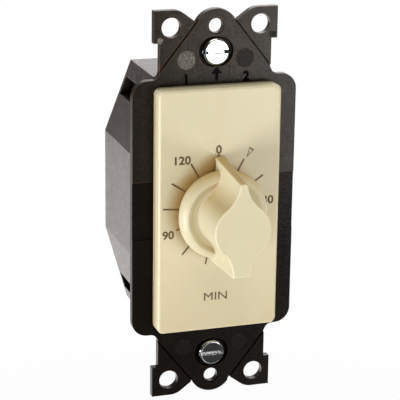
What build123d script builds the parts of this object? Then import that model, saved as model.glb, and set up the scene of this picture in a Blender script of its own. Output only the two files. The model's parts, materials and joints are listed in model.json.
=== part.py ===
"""A spring-wound wall timer switch, made to stand behind a decorator-style wall plate.

A black moulded strap carries an ivory face plate and knob in front, and a black housing
with a small clockwork movement and one switch behind. X runs to the right, Y into the
wall and Z up. The origin is on the strap's back face, on the axis of the knob. Sizes are
millimetres, and a distance in front of the strap's back face is called a level.
"""
import os
from math import atan2, cos, degrees, hypot, pi, radians, sin

from build123d import *

os.makedirs("parts", exist_ok=True)

# Shared allowances
overrun = 1.0
running_gap = 0.06
press_gap = 0.02
seat_gap = 0.1

# Mounting strap: a wide middle, narrower necks, and an ear at each corner
strap_width = 44.8
strap_thickness = 2.0
strap_height = 105.8
shoulder_height = 69.8
wing_corner_radius = 4.2
neck_width = 30.3
neck_fillet = 2.2
ear_width = 33.5
ear_height = 8.4
ear_top_length = 5.2
ear_turn_run = 2.95
ear_turn_drop = 1.0
valley_offset = 5.4
valley_depth = 3.4

# Holes of the strap, on the spacings that wall boxes and wall plates use
wallplate_spacing = 96.84
wallplate_hole_radius = 1.9
wallplate_countersink_radius = 2.3
wallplate_countersink_depth = 0.4
ear_hole_spacing = 24.2
ear_hole_radius = 2.6
box_screw_spacing = 83.34
screw_slot_length = 5.9
screw_slot_height = 4.0
counterbore_length = 9.5
counterbore_height = 7.9
counterbore_depth = 0.8

# Shallow marks in the strap's front
groove_width = 0.55
groove_depth = 0.45
pin_mark_radius = 2.5
pin_mark_depth = 0.2
pin_mark_x = 7.9
pin_mark_z = 39.7
band_height = 15.8
band_depth = 0.25

# Face plate
plate_width = 33.3
plate_height = 66.2
plate_depth = 4.8
plate_wall = 1.6
plate_corner_radius = 1.7
plate_edge_radius = 0.8
plate_hole_radius = 4.4
plate_ring_radius = 6.2
plate_post_radius = 2.4
plate_peg_radius = 1.5
plate_peg_end = 0.4
plate_peg_x = 12.6
plate_peg_z = 20.0

# Knob: a round skirt with a raised bead, and a waisted handle that ends in a pointer
knob_gap = 0.5
knob_height = 18.7
skirt_radius = 12.1
skirt_foot_radius = 11.3
skirt_rim_height = 2.4
skirt_height = 5.2
skirt_shoulder_radius = 11.6
skirt_shoulder_height = 4.1
bead_radius = 10.3
dish_radius = 8.4
dish_depth = 0.55
skirt_wall = 1.6
hub_radius = 4.6
handle_radius = 7.5
handle_upper_angle = 52
handle_lower_angle = 46
handle_offset = 0.2
pointer_foot_half_width = 1.5
pointer_tip_half_width = 0.95
pointer_crown = 0.5
pointer_foot_reach = 14.6
pointer_tip_reach = 12.3
tail_half_width = 2.57
tail_foot_reach = 12.9
tail_tip_reach = 11.9
knob_edge_radius = 0.3
knob_bore_depth = 12.4

# Winding arbor, its bushing and what sits on it
arbor_radius = 2.5
arbor_flat = 1.4
arbor_hub_radius = 3.0
arbor_hub_start = 12.4
arbor_pivot_radius = 1.5
clip_thickness = 0.4
clip_width = 2.8
clip_length = 8.0
clip_lip = 0.9
bushing_radius = 4.0
bushing_flange_radius = 5.5
bushing_flange_thickness = 1.0
bushing_reach = 5.0
ring_radius = 4.2
ring_thickness = 0.6
ring_gap_height = 1.6

# Rear housing: wide and deep in the middle, tapered towards its ends
housing_half_width = 21.0
housing_depth = 31.3
housing_straight_half_height = 14.0
housing_top = 35.5
housing_bottom = 32.3
housing_side_taper = 0.22
housing_rear_taper = 0.43
housing_wall = 1.6
housing_edge_radius = 0.8
rim_relief = 0.4
pocket_floor_x = 12.5
pocket_bottom = 25.5
pocket_top = 30.9
pocket_start = 8.0
lower_slot_floor_x = 14.8
lower_slot_top = 25.8
lower_slot_bottom = 29.6
lower_slot_start = 4.0
housing_boss_radius = 2.7
housing_boss_split = 4.0
upper_boss_x = 7.5
upper_boss_z = 30.9
lower_boss_x = 10.3
lower_boss_z = 28.1
housing_screw_radius = 1.1
housing_screw_head_radius = 1.9
housing_screw_head_height = 1.3
housing_screw_sink = 12.3

# Box screws, number 6 thread, with a thinner neck that its retainer keeps on the strap
box_screw_radius = 1.75
box_screw_neck_radius = 1.5
box_screw_thread_start = 1.1
box_screw_length = 25.0
box_screw_head_radius = 3.6
box_screw_head_height = 1.6
box_screw_head_edge = 0.6
driver_slot_width = 1.0
driver_slot_depth = 0.7
retainer_side = 8.4
retainer_thickness = 0.8

# Clockwork: two plates on four pillars
movement_gap = 7.0
movement_plate_thickness = 1.0
movement_back_gap = 6.7
movement_half_width = 15.8
movement_top = 23.5
movement_bottom = 16.5
movement_corner_radius = 3.0
pillar_radius = 1.6
pillar_tenon_radius = 1.0
pillar_tenon_length = 0.5
lower_pillar_drop = 13.4
left_pillar_place = (-13.0, 20.4)
right_pillar_place = (13.8, 21.2)
boss_radius = 2.0
boss_x = 13.6
boss_lower_z = 7.5
boss_upper_z = 14.5
movement_screw_radius = 1.1
movement_screw_head_radius = 1.9
movement_screw_head_height = 1.2
movement_screw_length = 5.5
back_window_radius = 3.5
back_window_drop = 11.0

# Wheels and pinions, from the winding arbor to the escapement
main_teeth = 48
main_wheel_pitch_radius = 12.0
second_teeth = 40
second_wheel_pitch_radius = 9.0
third_teeth = 36
third_wheel_pitch_radius = 6.75
pinion_teeth = 8
half_turn = 180.0
wheel_addendum_share = 0.85
wheel_dedendum_share = 1.25
wheel_root_share = 0.62
wheel_tip_share = 0.24
pinion_addendum_share = 0.65
pinion_dedendum_share = 1.25
pinion_root_share = 0.50
pinion_tip_share = 0.22
main_wheel_thickness = 1.2
wheel_thickness = 0.8
pinion_length = 2.0
wheel_web_share = 0.62
spoke_holes = 5
train_arbor_radius = 0.8
train_pivot_radius = 0.6
main_wheel_start = 9.0
second_wheel_start = 11.2
third_wheel_start = 13.0
escape_wheel_start = 15.5
second_direction = 65.0
third_direction = 170.0
escape_direction = 225.0
verge_direction = -120.0
escape_teeth = 12
escape_radius = 4.0
escape_root_radius = 2.9
verge_distance = 6.1
verge_hub_radius = 1.3
verge_arm_width = 0.9
verge_thickness = 1.2
pallet_angle = 38.0
pallet_radius = 4.75
verge_bar_length = 6.4
ratchet_teeth = 10
ratchet_radius = 3.9
ratchet_root_radius = 3.3
ratchet_thickness = 0.7
click_width = 1.2
click_pivot_reach = 7.4
click_side_reach = 3.1
click_nose_reach = 4.75
click_rivet_radius = 0.4
spring_ribbon = 0.25
spring_pitch = 0.62
spring_turns = 6
spring_start_radius = 3.35
spring_start_level = 13.2
spring_end_gap = 1.6
hook_turn = 150

# Switch: a cam on the arbor moves a lever that carries one contact
cam_radius = 5.2
cam_lobe_reach = 7.0
cam_lobe_half_width = 1.0
cam_lobe_foot_half_width = 2.4
cam_start = 2.5
cam_thickness = 2.0
lever_start = 2.6
lever_thickness = 1.8
lever_arm_width = 2.0
lever_hub_radius = 2.4
lever_nose_radius = 1.0
lever_pivot = (-8.0, 20.0)
lever_nose_gap = 0.2
post_radius = 1.2
post_tenon_radius = 0.8
post_collar_radius = 1.9
post_end = 6.4
contact_x = 2.2
contact_face_radius = 1.1
contact_shank_radius = 0.5
moving_contact_top = 27.45
moving_contact_height = 0.45
moving_contact_shank = 1.1
lever_pad_width = 2.8
lever_pad_height = 2.2
contact_opening = 0.85
fixed_contact_height = 0.7
lever_spring_wire = 0.22
wire_sides = 6
lever_spring_radius = 1.9
lever_spring_pitch = 0.6
lever_spring_turns = 2.5
lever_spring_start = 4.75

# Terminals
terminal_thickness = 0.8
leg_thickness = 1.0
leg_bottom = 26.1
leg_top = 30.3
leg_end = 16.6
load_base_right = 5.8
load_base_bottom = 17.6
line_base_left = 0.6
line_base_bottom = 23.6
base_top = 27.7
contact_tab_width = 3.2
contact_tab_end = 5.0
terminal_screw_z = 28.2
terminal_screw_depth = 13.0
terminal_screw_radius = 1.5
terminal_screw_head_radius = 2.4
terminal_screw_head_thickness = 1.7
terminal_screw_head_x = 15.1
terminal_screw_tip_x = 11.2
terminal_slot_width = 0.7
terminal_slot_depth = 0.6
wire_clamp_side = 4.6
wire_clamp_thickness = 0.8
wire_clamp_x = 14.15

movement_depth = (housing_depth - housing_wall - movement_gap - 2 * movement_plate_thickness
                  - movement_back_gap)
housing_screw_seat = housing_depth - housing_screw_sink
main_module = 2 * main_wheel_pitch_radius / main_teeth
second_module = 2 * second_wheel_pitch_radius / second_teeth
third_module = 2 * third_wheel_pitch_radius / third_teeth
plate_front = strap_thickness + plate_depth
knob_back = plate_front + knob_gap
front_plate_level = -movement_gap
front_plate_back = front_plate_level - movement_plate_thickness
back_plate_level = front_plate_back - movement_depth
back_plate_back = back_plate_level - movement_plate_thickness
spring_width = -back_plate_level - spring_end_gap - spring_start_level
contact_level = -(lever_start + lever_thickness / 2)


def layer(level):
    """Plane parallel to the wall, at this level."""
    return Plane.XZ.offset(level)


def rod(front, back, radius, places=((0, 0),), mode=Mode.ADD):
    """Round bars along Y between two levels, one at each place."""
    with BuildSketch(layer(front)) as profile:
        with Locations(*places):
            Circle(radius)
    extrude(profile.sketch, amount=back - front, mode=mode)


def cross_rod(start, end, radius, depth, height, mode=Mode.ADD):
    """Round bar along X between two distances from the middle plane."""
    with BuildSketch(Plane.YZ.offset(start)) as profile:
        with Locations((depth, height)):
            Circle(radius)
    extrude(profile.sketch, amount=end - start, mode=mode)


def upright_rod(bottom, top, radius, x, level, mode=Mode.ADD):
    """Round bar along Z between two heights."""
    with BuildSketch(Plane.XY.offset(bottom)) as profile:
        with Locations((x, -level)):
            Circle(radius)
    extrude(profile.sketch, amount=top - bottom, mode=mode)


def bar(start, end, width):
    """Round-ended flat bar between two points of the current sketch."""
    run, rise = end[0] - start[0], end[1] - start[1]
    with Locations(((start[0] + end[0]) / 2, (start[1] + end[1]) / 2)):
        SlotCenterToCenter(hypot(run, rise), width, rotation=degrees(atan2(rise, run)))


def span(left, right, bottom, top):
    """Rectangle of the current sketch, by its sides."""
    with Locations(((left + right) / 2, (bottom + top) / 2)):
        Rectangle(abs(right - left), abs(top - bottom))


def toward(place, direction, distance):
    """Point at this distance from a place, with the direction in degrees."""
    return (place[0] + distance * cos(radians(direction)), place[1] + distance * sin(radians(direction)))


def four_ways(x, z):
    """The four points that mirror one point across both middle planes."""
    return ((x, z), (-x, z), (x, -z), (-x, -z))


def pitch_radius(teeth, module):
    """Radius at which two wheels roll on each other."""
    return teeth * module / 2


def toothed(place, teeth, module, first_tooth, addendum, dedendum, root_share, tip_share):
    """Toothed outline about a place, with one tooth centred on the first_tooth direction."""
    tip = pitch_radius(teeth, module) + addendum * module
    root = pitch_radius(teeth, module) - dedendum * module
    half_pitch = 180 / teeth
    corners = []
    for tooth in range(teeth):
        middle = first_tooth + 2 * half_pitch * tooth
        corners.append(toward(place, middle - root_share * half_pitch, root))
        corners.append(toward(place, middle - tip_share * half_pitch, tip))
        corners.append(toward(place, middle + tip_share * half_pitch, tip))
        corners.append(toward(place, middle + root_share * half_pitch, root))
    with BuildLine() as outline:
        Polyline(*corners, close=True)
    make_face(outline.edges())


def wheel_outline(place, teeth, module, first_tooth):
    """Wheel with slim teeth that leave clearance beside the pinion's leaves."""
    toothed(place, teeth, module, first_tooth, wheel_addendum_share, wheel_dedendum_share,
            wheel_root_share, wheel_tip_share)


def pinion_outline(place, module, first_tooth):
    """Pinion with eight leaves."""
    toothed(place, pinion_teeth, module, first_tooth, pinion_addendum_share, pinion_dedendum_share,
            pinion_root_share, pinion_tip_share)


def saw_outline(place, teeth, tip, root, lean):
    """Outline with one-sided teeth, each rising from the root to a point."""
    pitch = 360 / teeth
    corners = []
    for tooth in range(teeth):
        corners.append(toward(place, pitch * tooth, root))
        corners.append(toward(place, pitch * (tooth + lean), tip))
    with BuildLine() as outline:
        Polyline(*corners, close=True)
    make_face(outline.edges())


def d_outline(radius, flat):
    """Circle with one side cut flat."""
    Circle(radius)
    with Locations((flat - radius * 2, 0)):
        Rectangle(radius * 4, radius * 4, mode=Mode.INTERSECT)


# Places of the train's arbors
second_place = toward((0, 0), second_direction,
                      pitch_radius(main_teeth, main_module) + pitch_radius(pinion_teeth, main_module))
third_place = toward(second_place, third_direction,
                     pitch_radius(second_teeth, second_module) + pitch_radius(pinion_teeth, second_module))
escape_place = toward(third_place, escape_direction,
                      pitch_radius(third_teeth, third_module) + pitch_radius(pinion_teeth, third_module))
verge_place = toward(escape_place, verge_direction, verge_distance)
spring_last_radius = spring_start_radius + spring_pitch / 2 * (2 * spring_turns - 1)
spring_outer_end = spring_last_radius + spring_pitch / 4
hook_radius = pillar_radius + seat_gap
lower_pillar_x = spring_outer_end + spring_ribbon + hook_radius
pillar_places = ((lower_pillar_x, -lower_pillar_drop), (-lower_pillar_x, -lower_pillar_drop),
                 left_pillar_place, right_pillar_place)
boss_places = ((boss_x, -boss_lower_z), (-boss_x, -boss_lower_z),
               (boss_x, boss_upper_z), (-boss_x, boss_upper_z))
housing_screw_places = ((upper_boss_x, upper_boss_z), (-upper_boss_x, upper_boss_z),
                        (lower_boss_x, -lower_boss_z), (-lower_boss_x, -lower_boss_z))
box_screw_places = ((0, box_screw_spacing / 2), (0, -box_screw_spacing / 2))


# Mounting strap
half_strap, half_height = strap_width / 2, strap_height / 2
half_shoulder, half_neck, half_ear = shoulder_height / 2, neck_width / 2, ear_width / 2
ear_bottom = half_height - ear_height
ear_top_end = half_ear - ear_top_length
valley = (valley_offset, half_height - valley_depth)
ear_slope_start = (ear_top_end - ear_turn_run, half_height - ear_turn_drop)
neck_start = half_neck + neck_fillet
groove_end = (half_neck, half_shoulder + neck_fillet)

with BuildPart() as mounting_strap:
    with BuildSketch(layer(0)):
        with BuildLine():
            Polyline((0, 0), (half_strap, 0), (half_strap, half_shoulder - wing_corner_radius))
            RadiusArc((half_strap, half_shoulder - wing_corner_radius),
                      (half_strap - wing_corner_radius, half_shoulder), -wing_corner_radius)
            Line((half_strap - wing_corner_radius, half_shoulder), (neck_start, half_shoulder))
            RadiusArc((neck_start, half_shoulder), groove_end, neck_fillet)
            Polyline(groove_end, (half_neck, ear_bottom), (half_ear, ear_bottom), (half_ear, half_height),
                     (ear_top_end, half_height))
            TangentArc((ear_top_end, half_height), ear_slope_start, tangent=(-1, 0))
            Line(ear_slope_start, valley)
            TangentArc((0, half_height), valley, tangent=(1, 0))
            Line((0, half_height), (0, 0))
        make_face()
        mirror(about=Plane.YZ)
        mirror(about=Plane.XZ)
    extrude(amount=strap_thickness)
    # Break lines from each dip to the root of its ear
    groove_run = (groove_end[0] - valley[0], groove_end[1] - valley[1])
    groove_turn = degrees(atan2(groove_run[1], groove_run[0]))
    with BuildSketch(layer(strap_thickness)):
        for side, end in ((1, 1), (-1, 1), (1, -1), (-1, -1)):
            with Locations((side * (valley[0] + groove_end[0]) / 2, end * (valley[1] + groove_end[1]) / 2)):
                Rectangle(hypot(*groove_run) + 2 * overrun, groove_width, rotation=side * end * groove_turn)
    extrude(amount=-groove_depth, mode=Mode.SUBTRACT)
    rod(strap_thickness, strap_thickness - pin_mark_depth, pin_mark_radius, four_ways(pin_mark_x, pin_mark_z),
        Mode.SUBTRACT)
    with BuildSketch(layer(strap_thickness)):
        span(plate_width / 2 + seat_gap, half_strap, -band_height / 2, band_height / 2)
        mirror(about=Plane.YZ)
    extrude(amount=-band_depth, mode=Mode.SUBTRACT)
    # Oblong seats and slots of the box screws
    with BuildSketch(layer(strap_thickness)):
        with Locations(*box_screw_places):
            SlotOverall(counterbore_length, counterbore_height)
    extrude(amount=-counterbore_depth, mode=Mode.SUBTRACT)
    with BuildSketch(layer(strap_thickness)):
        with Locations(*box_screw_places):
            SlotOverall(screw_slot_length, screw_slot_height)
        with Locations(*four_ways(ear_hole_spacing / 2, wallplate_spacing / 2)):
            Circle(ear_hole_radius)
        with Locations((0, wallplate_spacing / 2), (0, -wallplate_spacing / 2)):
            Circle(wallplate_hole_radius)
        with Locations(*four_ways(plate_peg_x, plate_peg_z)):
            Circle(plate_peg_radius + seat_gap)
        Circle(bushing_radius + press_gap)
    extrude(amount=-strap_thickness, mode=Mode.SUBTRACT)
    rod(strap_thickness, strap_thickness - wallplate_countersink_depth, wallplate_countersink_radius,
        ((0, wallplate_spacing / 2), (0, -wallplate_spacing / 2)), Mode.SUBTRACT)
    # Bosses behind the strap for the movement and for the housing's screws
    rod(0, front_plate_level, boss_radius, boss_places)
    rod(front_plate_level, front_plate_level + movement_screw_length, movement_screw_radius + press_gap,
        boss_places, Mode.SUBTRACT)
    rod(0, -housing_boss_split, housing_boss_radius, housing_screw_places)
    rod(-housing_boss_split, 0, housing_screw_radius + press_gap, housing_screw_places, Mode.SUBTRACT)
mounting_strap.part.label = "mounting_strap"
export_step(mounting_strap.part, "parts/mounting_strap.step")


# Face plate: a shallow tray, open at the back, on four pegs
with BuildPart() as face_plate:
    with BuildSketch(layer(strap_thickness)):
        RectangleRounded(plate_width, plate_height, plate_corner_radius)
    extrude(amount=plate_depth)
    fillet(face_plate.faces().sort_by(Axis.Y)[0].edges(), radius=plate_edge_radius)
    with BuildSketch(layer(strap_thickness)):
        RectangleRounded(plate_width - 2 * plate_wall, plate_height - 2 * plate_wall, plate_corner_radius)
    extrude(amount=plate_depth - plate_wall, mode=Mode.SUBTRACT)
    rod(strap_thickness, plate_front - plate_wall, plate_post_radius, four_ways(plate_peg_x, plate_peg_z))
    rod(plate_peg_end, strap_thickness, plate_peg_radius, four_ways(plate_peg_x, plate_peg_z))
    rod(strap_thickness, plate_front - plate_wall, plate_ring_radius)
    rod(strap_thickness, plate_front, plate_hole_radius, mode=Mode.SUBTRACT)
face_plate.part.label = "face_plate"
export_step(face_plate.part, "parts/face_plate.step")


def handle_outline(pointer_reach, pointer_half_width, tail_reach):
    """Waisted outline of the handle: a round middle that draws in to a pointer and a tail."""
    with BuildLine() as outline:
        middle = CenterArc((0, handle_offset), handle_radius, -handle_lower_angle,
                           handle_upper_angle + handle_lower_angle)
        TangentArc(middle @ 1, (pointer_half_width, pointer_reach), tangent=middle % 1)
        TangentArc(middle @ 0, (tail_half_width, -tail_reach), tangent=-(middle % 0))
        mirror(about=Plane.YZ)
        ThreePointArc((pointer_half_width, pointer_reach), (0, pointer_reach + pointer_crown),
                      (-pointer_half_width, pointer_reach))
        Line((tail_half_width, -tail_reach), (-tail_half_width, -tail_reach))
    make_face(outline.edges())


# Knob
knob_front = knob_back + knob_height
skirt_top = knob_back + skirt_height
with BuildPart() as knob:
    with BuildSketch(layer(knob_back)):
        handle_outline(pointer_foot_reach, pointer_foot_half_width, tail_foot_reach)
    with BuildSketch(layer(knob_front)):
        handle_outline(pointer_tip_reach, pointer_tip_half_width, tail_tip_reach)
    loft()
    fillet(knob.faces().sort_by(Axis.Y)[0].edges(), radius=knob_edge_radius)
    with BuildSketch(Plane.XY):
        with BuildLine():
            Polyline((0, -(skirt_top - dish_depth)), (0, -knob_back), (skirt_foot_radius, -knob_back),
                     (skirt_radius, -(knob_back + skirt_rim_height)))
            ThreePointArc((skirt_radius, -(knob_back + skirt_rim_height)),
                          (skirt_shoulder_radius, -(knob_back + skirt_shoulder_height)),
                          (bead_radius, -skirt_top))
            Spline((bead_radius, -skirt_top), (dish_radius, -(skirt_top - dish_depth)),
                   tangents=((-1, 0), (-1, 0)))
            Line((dish_radius, -(skirt_top - dish_depth)), (0, -(skirt_top - dish_depth)))
        make_face()
    revolve(axis=Axis.Y)
    # Hollow under the skirt, and the bore with its flat and the clip's seat
    with BuildSketch(layer(knob_back)):
        Circle(skirt_foot_radius - skirt_wall)
        Circle(hub_radius, mode=Mode.SUBTRACT)
    extrude(amount=skirt_height - dish_depth - skirt_wall, mode=Mode.SUBTRACT)
    with BuildSketch(layer(knob_back)):
        d_outline(arbor_radius + press_gap, arbor_flat + clip_thickness + seat_gap)
    extrude(amount=knob_bore_depth, mode=Mode.SUBTRACT)
knob.part.label = "knob"
export_step(knob.part, "parts/knob.step")


# Steel clip between the arbor's flat and the knob
clip_front = knob_back + knob_bore_depth - seat_gap
with BuildPart() as knob_clip:
    with BuildSketch(Plane.XY):
        with BuildLine():
            Polyline((arbor_flat + seat_gap / 2, -(clip_front - clip_length)),
                     (arbor_flat + seat_gap / 2, -(clip_front - clip_thickness)),
                     (arbor_flat - clip_lip, -(clip_front - clip_thickness)),
                     (arbor_flat - clip_lip, -clip_front),
                     (arbor_flat + seat_gap / 2 + clip_thickness, -clip_front),
                     (arbor_flat + seat_gap / 2 + clip_thickness, -(clip_front - clip_length)), close=True)
        make_face()
    extrude(amount=clip_width / 2, both=True)
knob_clip.part.label = "knob_clip"
export_step(knob_clip.part, "parts/knob_clip.step")


# Winding arbor: flat in the knob, plain through the bushing, thicker inside the mainspring
arbor_front = clip_front - clip_thickness - seat_gap
with BuildPart() as winding_arbor:
    rod(knob_back, -arbor_hub_start, arbor_radius)
    with BuildSketch(layer(knob_back)):
        d_outline(arbor_radius, arbor_flat)
    extrude(amount=arbor_front - knob_back)
    rod(-arbor_hub_start, back_plate_level + 2 * ring_thickness, arbor_hub_radius)
    rod(back_plate_level + 2 * ring_thickness, back_plate_back - seat_gap, arbor_pivot_radius)
winding_arbor.part.label = "winding_arbor"
export_step(winding_arbor.part, "parts/winding_arbor.step")

with BuildPart() as arbor_bushing:
    rod(bushing_reach, 0, bushing_radius)
    rod(0, -bushing_flange_thickness, bushing_flange_radius)
    rod(bushing_reach, -bushing_flange_thickness, arbor_radius + running_gap, mode=Mode.SUBTRACT)
arbor_bushing.part.label = "arbor_bushing"
export_step(arbor_bushing.part, "parts/arbor_bushing.step")

# Retaining ring: three quarters of a circle, snapped on before the front plate
ring_level = front_plate_level + ring_thickness + 2 * seat_gap
with BuildPart() as retaining_ring:
    rod(ring_level, ring_level - ring_thickness, ring_radius)
    rod(ring_level, ring_level - ring_thickness, arbor_radius + press_gap, mode=Mode.SUBTRACT)
    with BuildSketch(layer(ring_level)):
        span(0, ring_radius + overrun, -ring_gap_height / 2, ring_gap_height / 2)
    extrude(amount=-ring_thickness, mode=Mode.SUBTRACT)
retaining_ring.part.label = "retaining_ring"
export_step(retaining_ring.part, "parts/retaining_ring.step")


def half_width_at(height):
    """Half the housing's width at a height on its tapered ends."""
    return housing_half_width - housing_side_taper * (height - housing_straight_half_height)


def depth_at(height):
    """The housing's depth at a height on its tapered ends."""
    return housing_depth - housing_rear_taper * (height - housing_straight_half_height)


def housing_form(inset):
    """Solid of the housing's form, drawn in by the inset everywhere but at its open front."""
    open_front = -housing_wall - overrun
    with BuildPart() as form:
        with BuildSketch(layer(0)):
            with BuildLine():
                Polyline((0, -housing_bottom), (half_width_at(housing_bottom), -housing_bottom),
                         (housing_half_width, -housing_straight_half_height),
                         (housing_half_width, housing_straight_half_height),
                         (half_width_at(housing_top), housing_top), (0, housing_top))
                mirror(about=Plane.YZ)
            make_face()
            if inset:
                offset(amount=-inset, kind=Kind.INTERSECTION)
        extrude(amount=-housing_depth)
        with BuildSketch(Plane.YZ):
            with BuildLine():
                Polyline((open_front, -housing_bottom), (depth_at(housing_bottom), -housing_bottom),
                         (housing_depth, -housing_straight_half_height),
                         (housing_depth, housing_straight_half_height),
                         (depth_at(housing_top), housing_top), (open_front, housing_top), close=True)
            make_face()
            if inset:
                offset(amount=-inset, kind=Kind.INTERSECTION)
        extrude(amount=strap_width, both=True, mode=Mode.INTERSECT)
        if not inset:
            rear = [edge for edge in form.edges() if edge.center().Y > overrun and abs((edge % 0).Y) < 0.99]
            fillet(rear, radius=housing_edge_radius)
    return form.part


housing_outside = housing_form(0)
housing_inside = housing_form(housing_wall)

# Blocks that wall in the terminal pockets and the lower slots, and the screw bosses
with BuildPart() as housing_blocks:
    with BuildSketch(layer(-pocket_start + housing_wall)):
        span(pocket_floor_x - housing_wall, housing_half_width, pocket_bottom - housing_wall, housing_top)
        mirror(about=Plane.YZ)
    extrude(amount=-housing_depth)
    with BuildSketch(layer(0)):
        span(lower_slot_floor_x - housing_wall, housing_half_width, -housing_bottom,
             -lower_slot_top + housing_wall)
        mirror(about=Plane.YZ)
    extrude(amount=-housing_depth)
    rod(-housing_boss_split, -housing_depth, housing_boss_radius, housing_screw_places)
    add(housing_outside, mode=Mode.INTERSECT)

# Pockets cut in from both sides, which leave the rear wall whole
with BuildPart() as side_pockets:
    with BuildSketch(layer(-pocket_start)):
        span(pocket_floor_x, housing_half_width + overrun, pocket_bottom, pocket_top)
        mirror(about=Plane.YZ)
    extrude(amount=-housing_depth)
    with BuildSketch(layer(-lower_slot_start)):
        span(lower_slot_floor_x, housing_half_width + overrun, -lower_slot_bottom, -lower_slot_top)
        mirror(about=Plane.YZ)
    extrude(amount=-housing_depth)
    with BuildSketch(Plane.YZ):
        with BuildLine():
            Polyline((0, -housing_bottom), (depth_at(housing_bottom) - housing_wall, -housing_bottom),
                     (housing_depth - housing_wall, -housing_straight_half_height),
                     (housing_depth - housing_wall, housing_straight_half_height),
                     (depth_at(housing_top) - housing_wall, housing_top), (0, housing_top), close=True)
        make_face()
    extrude(amount=strap_width, both=True, mode=Mode.INTERSECT)

with BuildPart() as rear_housing:
    add(housing_outside)
    add(housing_inside, mode=Mode.SUBTRACT)
    add(housing_blocks.part)
    # Clearance for the strap's own bosses, then the screws' holes and counterbores
    rod(0, -housing_boss_split, housing_boss_radius + seat_gap, housing_screw_places, Mode.SUBTRACT)
    rod(0, -housing_depth, housing_screw_radius + seat_gap, housing_screw_places, Mode.SUBTRACT)
    rod(-housing_screw_seat, -housing_depth, housing_screw_head_radius + seat_gap, housing_screw_places,
        Mode.SUBTRACT)
    # Terminal pockets, and the slots for the wires
    add(side_pockets.part, mode=Mode.SUBTRACT)
    with BuildSketch(layer(0)):
        span(pocket_floor_x, pocket_floor_x + leg_thickness + 2 * seat_gap, leg_bottom - seat_gap,
             leg_top + seat_gap)
        mirror(about=Plane.YZ)
    extrude(amount=-pocket_start - overrun, mode=Mode.SUBTRACT)
    for side in (1, -1):
        cross_rod(side * (pocket_floor_x - housing_wall), side * pocket_floor_x,
                  terminal_screw_radius + seat_gap, terminal_screw_depth, terminal_screw_z, Mode.SUBTRACT)
    # Narrow gap between the side walls and the strap
    with BuildSketch(layer(0)):
        span(housing_half_width - housing_wall, housing_half_width + overrun, -housing_straight_half_height,
             housing_straight_half_height)
        mirror(about=Plane.YZ)
    extrude(amount=-rim_relief, mode=Mode.SUBTRACT)
rear_housing.part.label = "rear_housing"
export_step(rear_housing.part, "parts/rear_housing.step")

with BuildPart() as housing_screws:
    rod(-housing_screw_seat, -overrun, housing_screw_radius, housing_screw_places)
    rod(-housing_screw_seat, -housing_screw_seat - housing_screw_head_height, housing_screw_head_radius,
        housing_screw_places)
    with BuildSketch(layer(-housing_screw_seat - housing_screw_head_height)):
        with Locations(*housing_screw_places):
            Rectangle(2 * housing_screw_head_radius, driver_slot_width)
    extrude(amount=driver_slot_depth, mode=Mode.SUBTRACT)
housing_screws.part.label = "housing_screws"
export_step(housing_screws.part, "parts/housing_screws.step")


# Box screws with oval slotted heads, and the square retainers that keep them in place
seat_level = strap_thickness - counterbore_depth
with BuildPart() as box_screws:
    rod(seat_level, seat_level - box_screw_length, box_screw_neck_radius, box_screw_places)
    rod(-box_screw_thread_start, seat_level - box_screw_length, box_screw_radius, box_screw_places)
    rod(seat_level, seat_level + box_screw_head_height, box_screw_head_radius, box_screw_places)
    head_rims = box_screws.faces().sort_by(Axis.Y)[:2].edges()
    fillet(head_rims, radius=box_screw_head_edge)
    with BuildSketch(layer(seat_level + box_screw_head_height)):
        with Locations(*box_screw_places):
            Rectangle(2 * box_screw_head_radius, driver_slot_width)
    extrude(amount=-driver_slot_depth, mode=Mode.SUBTRACT)
box_screws.part.label = "box_screws"
export_step(box_screws.part, "parts/box_screws.step")

for name, place in zip(("upper", "lower"), box_screw_places):
    with BuildPart() as screw_retainer:
        with BuildSketch(layer(0)):
            with Locations(place):
                Rectangle(retainer_side, retainer_side)
                Circle(box_screw_neck_radius + running_gap, mode=Mode.SUBTRACT)
        extrude(amount=-retainer_thickness)
    screw_retainer.part.label = f"{name}_screw_retainer"
    export_step(screw_retainer.part, f"parts/{name}_screw_retainer.step")


def movement_plate(level, arbor_hole_radius):
    """Brass plate of the clockwork, with holes for its pillars and pivots."""
    with BuildSketch(layer(level)) as profile:
        with Locations((0, (movement_top - movement_bottom) / 2)):
            RectangleRounded(2 * movement_half_width, movement_top + movement_bottom, movement_corner_radius)
        with Locations(*pillar_places):
            Circle(pillar_tenon_radius + press_gap, mode=Mode.SUBTRACT)
        with Locations(second_place, third_place, escape_place, verge_place):
            Circle(train_pivot_radius + running_gap, mode=Mode.SUBTRACT)
        Circle(arbor_hole_radius, mode=Mode.SUBTRACT)
    extrude(profile.sketch, amount=-movement_plate_thickness)


with BuildPart() as movement_front_plate:
    movement_plate(front_plate_level, arbor_radius + running_gap)
    rod(front_plate_level, front_plate_back, movement_screw_radius + seat_gap, boss_places, Mode.SUBTRACT)
movement_front_plate.part.label = "movement_front_plate"
export_step(movement_front_plate.part, "parts/movement_front_plate.step")

with BuildPart() as movement_back_plate:
    movement_plate(back_plate_level, arbor_pivot_radius + running_gap)
    rod(back_plate_level, back_plate_back, back_window_radius, ((0, -back_window_drop),), Mode.SUBTRACT)
movement_back_plate.part.label = "movement_back_plate"
export_step(movement_back_plate.part, "parts/movement_back_plate.step")

for number, place in enumerate(pillar_places, start=1):
    with BuildPart() as pillar:
        rod(front_plate_back, back_plate_level, pillar_radius, (place,))
        rod(front_plate_level + pillar_tenon_length, back_plate_back - pillar_tenon_length, pillar_tenon_radius,
            (place,))
    pillar.part.label = f"movement_pillar_{number}"
    export_step(pillar.part, f"parts/movement_pillar_{number}.step")

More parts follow.
